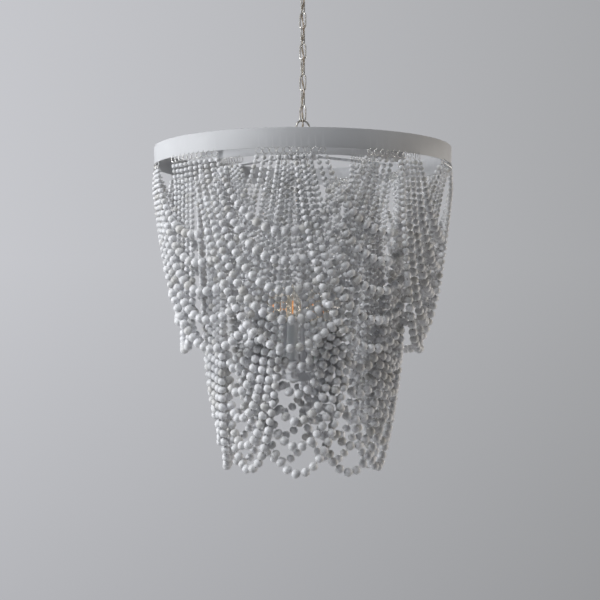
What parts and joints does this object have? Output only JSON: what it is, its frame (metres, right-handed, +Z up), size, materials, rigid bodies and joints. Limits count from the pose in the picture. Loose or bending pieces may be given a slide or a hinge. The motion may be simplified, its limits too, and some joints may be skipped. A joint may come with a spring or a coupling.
{
  "type": "beaded chandelier",
  "caption": "Round ceiling chandelier: painted rings carry nested swags of wooden beads in two tiers round a ring of candle lights, hung on a chain from a ceiling canopy.",
  "frame": {"origin": "on the chandelier's axis at the ceiling: the middle of the strap's upper face", "axes": "+Z up; -Y towards the camera of the picture; +X to its right"},
  "size_m": [0.6157, 0.6155, 1.0315],
  "materials": {
    "paint": "satin",
    "chain": "aged",
    "strap": "zinc",
    "beads": "matte limewash",
    "cord": "gloss",
    "sleeve": "matte",
    "bulb_glass": "clear"
  },
  "bodies": {
    "canopy": {"ceiling_strap": "strap", "ceiling_canopy": "paint", "canopy_loop": "chain", "supply_cord_1": "cord"},
    "link_1": {"chain_link_1": "chain", "supply_cord_2": "cord"},
    "link_2": {"chain_link_2": "chain", "supply_cord_3": "cord"},
    "link_3": {"chain_link_3": "chain", "supply_cord_4": "cord"},
    "link_4": {"chain_link_4": "chain", "supply_cord_5": "cord"},
    "link_5": {"chain_link_5": "chain", "supply_cord_6": "cord"},
    "link_6": {"chain_link_6": "chain", "supply_cord_7": "cord"},
    "link_7": {"chain_link_7": "chain", "supply_cord_8": "cord"},
    "link_8": {"chain_link_8": "chain", "supply_cord_9": "cord"},
    "lamp": {"hanging_loop": "chain", "supply_cord_10": "cord", "centre_stem": "paint", "frame_hub": "paint", "frame_spoke_1": "paint", "frame_spoke_2": "paint", "frame_spoke_3": "paint", "frame_spoke_4": "paint", "outer_ring": "paint", "inner_ring": "paint", "bottom_dish": "paint", "bottom_finial": "paint", "candle_arm_1": "paint", "candle_arm_2": "paint", "candle_arm_3": "paint", "candle_arm_4": "paint", "candle_arm_5": "paint", "candle_arm_6": "paint", "candle_sleeve_1": "sleeve", "candle_sleeve_2": "sleeve", "candle_sleeve_3": "sleeve", "candle_sleeve_4": "sleeve", "candle_sleeve_5": "sleeve", "candle_sleeve_6": "sleeve", "upper_swags_1": "beads", "upper_swags_2": "beads", "upper_swags_3": "beads", "upper_swags_4": "beads", "upper_swags_5": "beads", "lower_swags_1": "beads", "lower_swags_2": "beads", "lower_swags_3": "beads", "lower_swags_4": "beads", "lower_swags_5": "beads"},
    "bulb_1": {"candle_bulb_1": "bulb_glass"},
    "bulb_2": {"candle_bulb_2": "bulb_glass"},
    "bulb_3": {"candle_bulb_3": "bulb_glass"},
    "bulb_4": {"candle_bulb_4": "bulb_glass"},
    "bulb_5": {"candle_bulb_5": "bulb_glass"},
    "bulb_6": {"candle_bulb_6": "bulb_glass"}
  },
  "joints": [
    {"name": "chain_pivot_1", "type": "hinge", "parent": "canopy", "child": "link_1", "pos_m": [0, 0, -0.0553], "axis": [0.8829, -0.4695, 0], "range_deg": [-8, 8]},
    {"name": "chain_pivot_2", "type": "hinge", "parent": "link_1", "child": "link_2", "pos_m": [0, 0, -0.0863], "axis": [0.4695, 0.8829, 0], "range_deg": [-8, 8]},
    {"name": "chain_pivot_3", "type": "hinge", "parent": "link_2", "child": "link_3", "pos_m": [0, 0, -0.1183], "axis": [0.8829, -0.4695, 0], "range_deg": [-8, 8]},
    {"name": "chain_pivot_4", "type": "hinge", "parent": "link_3", "child": "link_4", "pos_m": [0, 0, -0.1503], "axis": [0.4695, 0.8829, 0], "range_deg": [-8, 8]},
    {"name": "chain_pivot_5", "type": "hinge", "parent": "link_4", "child": "link_5", "pos_m": [0, 0, -0.1823], "axis": [0.8829, -0.4695, 0], "range_deg": [-8, 8]},
    {"name": "chain_pivot_6", "type": "hinge", "parent": "link_5", "child": "link_6", "pos_m": [0, 0, -0.2143], "axis": [0.4695, 0.8829, 0], "range_deg": [-8, 8]},
    {"name": "chain_pivot_7", "type": "hinge", "parent": "link_6", "child": "link_7", "pos_m": [0, 0, -0.2463], "axis": [0.8829, -0.4695, 0], "range_deg": [-8, 8]},
    {"name": "chain_pivot_8", "type": "hinge", "parent": "link_7", "child": "link_8", "pos_m": [0, 0, -0.2783], "axis": [0.4695, 0.8829, 0], "range_deg": [-8, 8]},
    {"name": "chain_pivot_9", "type": "hinge", "parent": "link_8", "child": "lamp", "pos_m": [0, 0, -0.3103], "axis": [0.8829, -0.4695, 0], "range_deg": [-8, 8]},
    {"name": "bulb_turn_1", "type": "hinge", "parent": "lamp", "child": "bulb_1", "pos_m": [-0.0207, -0.05844, -0.73], "axis": [0, 0, 1], "range_deg": [0, 1080]},
    {"name": "bulb_turn_2", "type": "hinge", "parent": "lamp", "child": "bulb_2", "pos_m": [0.04027, -0.04714, -0.73], "axis": [0, 0, 1], "range_deg": [0, 1080]},
    {"name": "bulb_turn_3", "type": "hinge", "parent": "lamp", "child": "bulb_3", "pos_m": [0.06096, 0.0113, -0.73], "axis": [0, 0, 1], "range_deg": [0, 1080]},
    {"name": "bulb_turn_4", "type": "hinge", "parent": "lamp", "child": "bulb_4", "pos_m": [0.0207, 0.05844, -0.73], "axis": [0, 0, 1], "range_deg": [0, 1080]},
    {"name": "bulb_turn_5", "type": "hinge", "parent": "lamp", "child": "bulb_5", "pos_m": [-0.04027, 0.04714, -0.73], "axis": [0, 0, 1], "range_deg": [0, 1080]},
    {"name": "bulb_turn_6", "type": "hinge", "parent": "lamp", "child": "bulb_6", "pos_m": [-0.06096, -0.0113, -0.73], "axis": [0, 0, 1], "range_deg": [0, 1080]}
  ]
}
